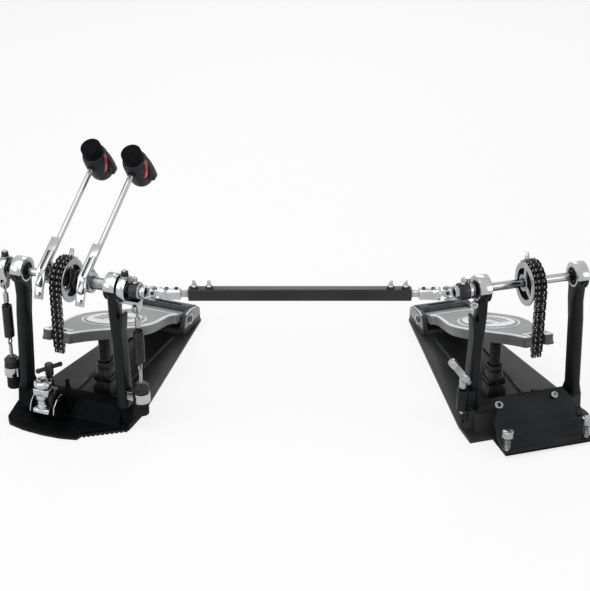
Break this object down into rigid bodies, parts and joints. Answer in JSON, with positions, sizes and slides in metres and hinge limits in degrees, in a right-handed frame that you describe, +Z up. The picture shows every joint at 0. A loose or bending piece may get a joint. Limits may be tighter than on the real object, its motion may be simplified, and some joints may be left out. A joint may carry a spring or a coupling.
{
  "type": "double bass drum pedal",
  "caption": "Double bass drum pedal: two chain-driven footboards, two beaters on one stand, and a jointed drive link to the slave stand.",
  "frame": {"origin": "On the floor, under the middle of the main pedal's shaft, on the flat underside of the main stand's rubber sole.", "axes": "+Z up. +X along the drive link, from the main pedal to the slave pedal. +Y from the bass drum toward the player; each pedal's heel is turned inward from +Y."},
  "size_m": [0.8432, 0.4415, 0.363],
  "materials": {
    "main_base_plate": "satin black powder coat",
    "slave_base_plate": "satin black powder coat",
    "main_front_casting": "satin black",
    "main_outer_post": "satin black",
    "main_inner_post": "satin black",
    "slave_front_plate": "satin black",
    "slave_outer_post": "satin black",
    "slave_inner_post": "satin black",
    "main_heel_block": "satin black",
    "slave_heel_block": "satin black",
    "main_sole": "matt rubber",
    "main_outer_cap": "polished",
    "main_inner_cap": "polished",
    "slave_outer_cap": "polished",
    "slave_inner_cap": "polished",
    "left_spring_bracket": "polished",
    "right_spring_bracket": "polished",
    "clamp_jaw": "polished",
    "main_shaft": "polished",
    "slave_shaft": "polished",
    "main_beater_holder": "polished",
    "second_beater_holder": "polished",
    "main_beater_rod": "polished",
    "second_beater_rod": "polished",
    "left_spring_lever": "polished",
    "right_spring_lever": "polished",
    "link_rod_main": "polished",
    "link_rod_slave": "polished",
    "clamp_t_bolt": "plated steel",
    "left_spring_hook": "plated steel",
    "right_spring_hook": "plated steel",
    "left_eye_rod": "plated steel",
    "right_eye_rod": "plated steel",
    "second_sleeve": "plated steel",
    "cross_main": "plated steel",
    "cross_slave": "plated steel",
    "left_spur": "plated steel",
    "right_spur": "plated steel",
    "key": "plated steel",
    "main_cam": "plated steel",
    "slave_cam": "plated steel",
    "main_footboard": "cast, grey",
    "slave_footboard": "cast, grey",
    "main_chain_wrap": "black oxide",
    "main_chain_transfer": "black oxide",
    "main_chain_drop": "black oxide",
    "slave_chain_wrap": "black oxide",
    "slave_chain_transfer": "black oxide",
    "slave_chain_drop": "black oxide",
    "left_spring": "black spring wire",
    "right_spring": "black spring wire",
    "main_coil": "black spring wire",
    "slave_coil": "black spring wire",
    "main_coil_base": "moulded",
    "slave_coil_base": "moulded",
    "left_tension_knob": "moulded",
    "right_tension_knob": "moulded",
    "main_beater_head": "rubber barrel with felt face",
    "second_beater_head": "rubber barrel with felt face",
    "link_tube": "satin black"
  },
  "bodies": {
    "frames": {"main_base_plate": "main_base_plate", "main_sole": "main_sole", "main_front_casting": "main_front_casting", "main_outer_post": "main_outer_post", "main_inner_post": "main_inner_post", "main_outer_cap": "main_outer_cap", "main_inner_cap": "main_inner_cap", "main_heel_block": "main_heel_block", "main_coil_base": "main_coil_base", "main_coil": "main_coil", "left_spring_bracket": "left_spring_bracket", "right_spring_bracket": "right_spring_bracket", "left_eye_rod": "left_eye_rod", "right_eye_rod": "right_eye_rod", "slave_base_plate": "slave_base_plate", "slave_front_plate": "slave_front_plate", "slave_outer_post": "slave_outer_post", "slave_inner_post": "slave_inner_post", "slave_outer_cap": "slave_outer_cap", "slave_inner_cap": "slave_inner_cap", "slave_heel_block": "slave_heel_block", "slave_coil_base": "slave_coil_base", "slave_coil": "slave_coil"},
    "main_rocker": {"main_shaft": "main_shaft", "main_cam": "main_cam", "main_chain_wrap": "main_chain_wrap", "main_beater_holder": "main_beater_holder", "main_beater_rod": "main_beater_rod", "main_beater_head": "main_beater_head", "left_spring_lever": "left_spring_lever"},
    "main_board": {"main_footboard": "main_footboard"},
    "main_turning_chain": {"main_chain_transfer": "main_chain_transfer"},
    "main_hanging_chain": {"main_chain_drop": "main_chain_drop"},
    "second_rocker": {"second_sleeve": "second_sleeve", "second_beater_holder": "second_beater_holder", "second_beater_rod": "second_beater_rod", "second_beater_head": "second_beater_head", "right_spring_lever": "right_spring_lever"},
    "left_spring_body": {"left_spring": "left_spring"},
    "left_hook": {"left_spring_hook": "left_spring_hook"},
    "right_spring_body": {"right_spring": "right_spring"},
    "right_hook": {"right_spring_hook": "right_spring_hook"},
    "left_knob": {"left_tension_knob": "left_tension_knob"},
    "right_knob": {"right_tension_knob": "right_tension_knob"},
    "jaw": {"clamp_jaw": "clamp_jaw"},
    "t_bolt": {"clamp_t_bolt": "clamp_t_bolt"},
    "link": {"link_tube": "link_tube", "link_rod_main": "link_rod_main", "link_rod_slave": "link_rod_slave"},
    "main_cross": {"cross_main": "cross_main"},
    "slave_cross": {"cross_slave": "cross_slave"},
    "slave_rocker": {"slave_shaft": "slave_shaft", "slave_cam": "slave_cam", "slave_chain_wrap": "slave_chain_wrap"},
    "slave_board": {"slave_footboard": "slave_footboard"},
    "slave_turning_chain": {"slave_chain_transfer": "slave_chain_transfer"},
    "slave_hanging_chain": {"slave_chain_drop": "slave_chain_drop"},
    "left_spur_screw": {"left_spur": "left_spur"},
    "right_spur_screw": {"right_spur": "right_spur"},
    "drum_key": {"key": "key"}
  },
  "joints": [
    {"name": "main_swing", "type": "hinge", "parent": "frames", "child": "main_rocker", "pos_m": [0, 0, 0.217], "axis": [0.9304, -0.3665, 0], "range_deg": [-3, 54], "stiffness_Nm_per_rad": 0.6, "springref_deg": -28.65},
    {"name": "main_footboard_hinge", "type": "hinge", "parent": "frames", "child": "main_board", "pos_m": [0.10225, 0.25959, 0.027], "axis": [0.9304, -0.3665, 0], "range_deg": [-0.33, 5.55], "deforming": ["main_coil"]},
    {"name": "main_chain_bend", "type": "hinge", "parent": "main_rocker", "child": "main_turning_chain", "pos_m": [-0.00957, -0.0243, 0.23872], "axis": [0.9304, -0.3665, 0], "range_deg": [-40.52, 2.27]},
    {"name": "main_chain_hang", "type": "hinge", "parent": "main_turning_chain", "child": "main_hanging_chain", "pos_m": [-0.01283, -0.03256, 0.217], "axis": [0.9304, -0.3665, 0], "range_deg": [-17.53, 0.99]},
    {"name": "slave_swing", "type": "hinge", "parent": "frames", "child": "slave_rocker", "pos_m": [0.63362, -0.01198, 0.217], "axis": [0.9563, 0.2924, 0], "range_deg": [-3, 54], "stiffness_Nm_per_rad": 0.6, "springref_deg": -51.57},
    {"name": "slave_footboard_hinge", "type": "hinge", "parent": "frames", "child": "slave_board", "pos_m": [0.55205, 0.25483, 0.027], "axis": [0.9563, 0.2924, 0], "range_deg": [-0.33, 5.55], "deforming": ["slave_coil"]},
    {"name": "slave_chain_bend", "type": "hinge", "parent": "slave_rocker", "child": "slave_turning_chain", "pos_m": [0.64126, -0.03695, 0.23872], "axis": [0.9563, 0.2924, 0], "range_deg": [-40.52, 2.27]},
    {"name": "slave_chain_hang", "type": "hinge", "parent": "slave_turning_chain", "child": "slave_hanging_chain", "pos_m": [0.64386, -0.04545, 0.217], "axis": [0.9563, 0.2924, 0], "range_deg": [-17.53, 0.99]},
    {"name": "second_swing", "type": "hinge", "parent": "frames", "child": "second_rocker", "pos_m": [0, 0, 0.217], "axis": [0.9304, -0.3665, 0], "range_deg": [-3.09, 55.3]},
    {"name": "link_turn", "type": "hinge", "parent": "frames", "child": "link", "pos_m": [0.12095, -0.04764, 0.217], "axis": [1, 0, 0], "range_deg": [-2.91, 51.98]},
    {"name": "cross_main_pivot", "type": "hinge", "parent": "link", "child": "main_cross", "pos_m": [0.12095, -0.04764, 0.217], "axis": [0, 0.8875, -0.4608], "range_deg": [-19.59, 1.11]},
    {"name": "cross_slave_pivot", "type": "hinge", "parent": "link", "child": "slave_cross", "pos_m": [0.51695, -0.04764, 0.217], "axis": [0, 0.8875, -0.4608], "range_deg": [-0.87, 15.27]},
    {"name": "left_spring_swivel", "type": "hinge", "parent": "frames", "child": "left_spring_body", "pos_m": [-0.09451, 0.03293, 0.101], "axis": [0.9304, -0.3665, 0], "range_deg": [-12.81, 0.73]},
    {"name": "left_spring_stretch", "type": "slide", "parent": "left_spring_body", "child": "left_hook", "axis": [0, 0, 1], "range_m": [-0.00043, 0.0076], "deforming": ["left_spring"]},
    {"name": "left_knob_turn", "type": "hinge", "parent": "frames", "child": "left_knob", "pos_m": [-0.09451, 0.03293, 0.047], "axis": [0, 0, 1], "continuous": true},
    {"name": "right_spring_swivel", "type": "hinge", "parent": "frames", "child": "right_spring_body", "pos_m": [0.09809, -0.04294, 0.101], "axis": [0.9304, -0.3665, 0], "range_deg": [-13.12, 0.75]},
    {"name": "right_spring_stretch", "type": "slide", "parent": "right_spring_body", "child": "right_hook", "axis": [0, 0, 1], "range_m": [-0.00044, 0.00778], "deforming": ["right_spring"]},
    {"name": "right_knob_turn", "type": "hinge", "parent": "frames", "child": "right_knob", "pos_m": [0.09809, -0.04294, 0.047], "axis": [0, 0, 1], "continuous": true},
    {"name": "t_bolt_turn", "type": "hinge", "parent": "frames", "child": "t_bolt", "pos_m": [-0.03411, -0.01021, 0.01], "axis": [0, 0, 1], "range_deg": [0, 360]},
    {"name": "jaw_tilt", "type": "hinge", "parent": "frames", "child": "jaw", "pos_m": [-0.03888, -0.0223, 0.033], "axis": [0.9304, -0.3665, 0], "range_deg": [-0.01, 5.01]},
    {"name": "left_spur_screw_down", "type": "slide", "parent": "frames", "child": "left_spur_screw", "axis": [0, 0, 1], "range_m": [-0.0002, 0.008]},
    {"name": "right_spur_screw_down", "type": "slide", "parent": "frames", "child": "right_spur_screw", "axis": [0, 0, 1], "range_m": [-0.0002, 0.008]},
    {"name": "key_pull", "type": "slide", "parent": "frames", "child": "drum_key", "axis": [0, 0, 1], "range_m": [-0.0002, 0.045]}
  ],
  "couplings": [
    {"joint": "main_footboard_hinge", "follows": "main_swing", "ratio": 0.10238},
    {"joint": "main_chain_bend", "follows": "main_swing", "ratio": -0.75},
    {"joint": "main_chain_hang", "follows": "main_swing", "ratio": -0.32421},
    {"joint": "slave_footboard_hinge", "follows": "slave_swing", "ratio": 0.10238},
    {"joint": "slave_chain_bend", "follows": "slave_swing", "ratio": -0.75},
    {"joint": "slave_chain_hang", "follows": "slave_swing", "ratio": -0.32421},
    {"joint": "second_swing", "follows": "slave_swing", "ratio": 1.0237},
    {"joint": "link_turn", "follows": "slave_swing", "ratio": 0.96218},
    {"joint": "cross_main_pivot", "follows": "slave_swing", "ratio": -0.3625},
    {"joint": "cross_slave_pivot", "follows": "slave_swing", "ratio": 0.28244},
    {"joint": "left_spring_swivel", "follows": "main_swing", "ratio": -0.23692},
    {"joint": "left_spring_stretch", "follows": "main_swing", "m_per_rad": 0.008055},
    {"joint": "right_spring_swivel", "follows": "slave_swing", "ratio": -0.24254},
    {"joint": "right_spring_stretch", "follows": "slave_swing", "m_per_rad": 0.008246},
    {"joint": "jaw_tilt", "follows": "t_bolt_turn", "ratio": 0.013889}
  ]
}
